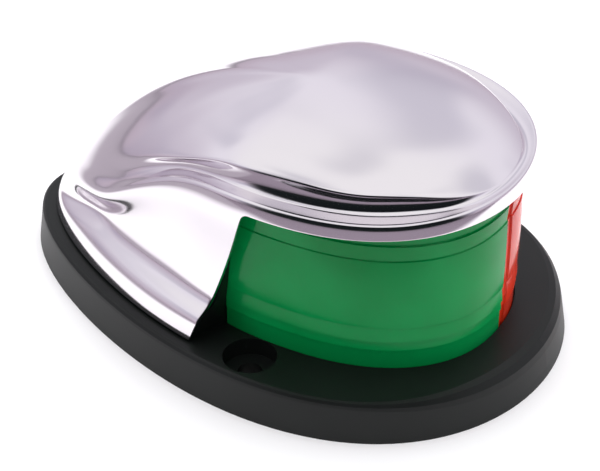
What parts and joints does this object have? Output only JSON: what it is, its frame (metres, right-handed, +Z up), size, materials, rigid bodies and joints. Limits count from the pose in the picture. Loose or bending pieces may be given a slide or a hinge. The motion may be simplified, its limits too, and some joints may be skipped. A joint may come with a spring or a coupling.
{
  "type": "navigation light",
  "caption": "Egg-shaped deck-mounted bow navigation light: black base, red and green lens, chrome visored hood that lifts off, and a bayonet lamp inside.",
  "frame": {"origin": "middle of the flat underside, halfway along the base's length", "axes": "+X to the bow, +Y to port (red side), +Z up"},
  "size_m": [0.124, 0.0852, 0.0554],
  "materials": {
    "black_plastic": "fine moulded grain",
    "foam_rubber": "matt",
    "chrome": "mirror chrome plate on pressed metal",
    "green_lens": "clear tinted moulding",
    "red_lens": "clear tinted moulding",
    "plated_steel": "nickel plated",
    "rivet_aluminium": "plain",
    "brown_phenolic": "laminated board",
    "brass": "turned",
    "spring_steel": "drawn wire",
    "clear_glass": "blown",
    "solder": "tinned",
    "black_insulation": "wire insulation",
    "grey_insulation": "wire insulation",
    "white_nylon": "moulded",
    "stainless": "bright"
  },
  "bodies": {
    "base": {"base_housing": "black_plastic", "lamp_bulkhead": "black_plastic", "screw_post": "black_plastic", "base_gasket": "foam_rubber", "lens_seat_gasket": "foam_rubber", "socket_shell": "plated_steel", "socket_bracket": "plated_steel", "socket_rivets": "rivet_aluminium", "socket_end_plate": "brown_phenolic", "socket_terminals": "brass", "contact_insulator": "brown_phenolic", "contact_springs": "spring_steel", "starboard_lead": "black_insulation", "port_lead": "grey_insulation", "terminal_block": "white_nylon", "terminal_clamps": "brass", "terminal_screws": "plated_steel", "block_screw": "plated_steel", "cable_grommet": "foam_rubber", "hood_screw": "stainless", "hood_screw_washer": "stainless", "hood_screw_insert": "brass"},
    "lens": {"starboard_lens": "green_lens", "port_lens": "red_lens", "lens_top_seal": "foam_rubber"},
    "hood": {"hood": "chrome"},
    "plungers": {"contact_plungers": "brass"},
    "lamp": {"bulb_glass": "clear_glass", "bulb_cap": "brass", "bulb_contacts": "solder", "bulb_filament": "spring_steel"}
  },
  "joints": [
    {"name": "lens_lift", "type": "slide", "parent": "base", "child": "lens", "axis": [0, 0, 1], "range_m": [0, 0.036]},
    {"name": "hood_lift", "type": "slide", "parent": "lens", "child": "hood", "axis": [0, 0, 1], "range_m": [0, 0.06]},
    {"name": "bulb_push", "type": "slide", "parent": "base", "child": "plungers", "axis": [-1, 0, 0], "range_m": [0, 0.0015], "stiffness_N_per_m": 2500, "springref_m": -0.002, "deforming": ["contact_springs"]},
    {"name": "bulb_turn", "type": "hinge", "parent": "plungers", "child": "lamp", "pos_m": [0, 0, 0.026], "axis": [1, 0, 0], "range_deg": [0, 25]}
  ]
}
